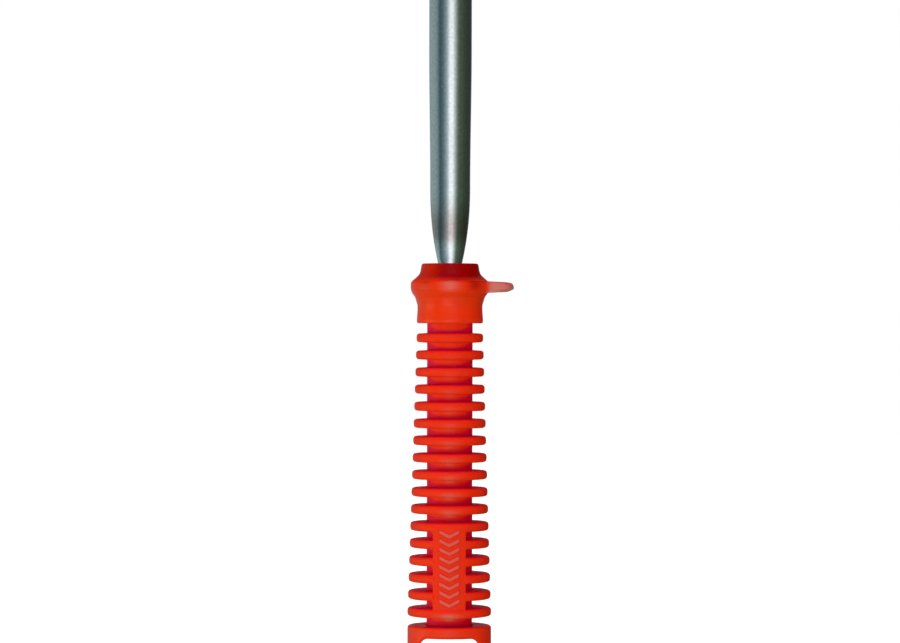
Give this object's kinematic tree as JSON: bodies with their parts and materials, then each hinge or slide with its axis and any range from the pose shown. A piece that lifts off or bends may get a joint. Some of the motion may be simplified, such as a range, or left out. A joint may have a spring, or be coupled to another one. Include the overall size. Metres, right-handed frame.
{
  "type": "insulated screwdriver",
  "caption": "Slim screwdriver with a bare round steel shank, a ribbed red grip, a guard collar with one side tab, and a butt with a hanging eye.",
  "frame": {"origin": "centre of the flat end face of the butt, on the axis of the shank", "axes": "+Z along the axis from the butt to the blade's tip, +X towards the side tab of the guard, -Y the front of the grip"},
  "size_m": [0.0248, 0.0196, 0.308],
  "materials": {
    "blade_steel": "satin nickel plate on round steel, slightly darker and browner in the reduction",
    "spring_steel": "plain spring steel",
    "core_nylon": "natural moulded nylon",
    "soft_red": "soft red moulded grip, matt",
    "firm_red": "firm red moulded plastic, satin"
  },
  "bodies": {
    "root": {"blade": "blade_steel", "tang_ring": "spring_steel", "loop_pin": "spring_steel", "core_half_left": "core_nylon", "core_half_right": "core_nylon", "neck_bush": "core_nylon", "grip_sleeve": "soft_red", "guard_collar": "firm_red", "end_loop": "firm_red"}
  },
  "joints": []
}
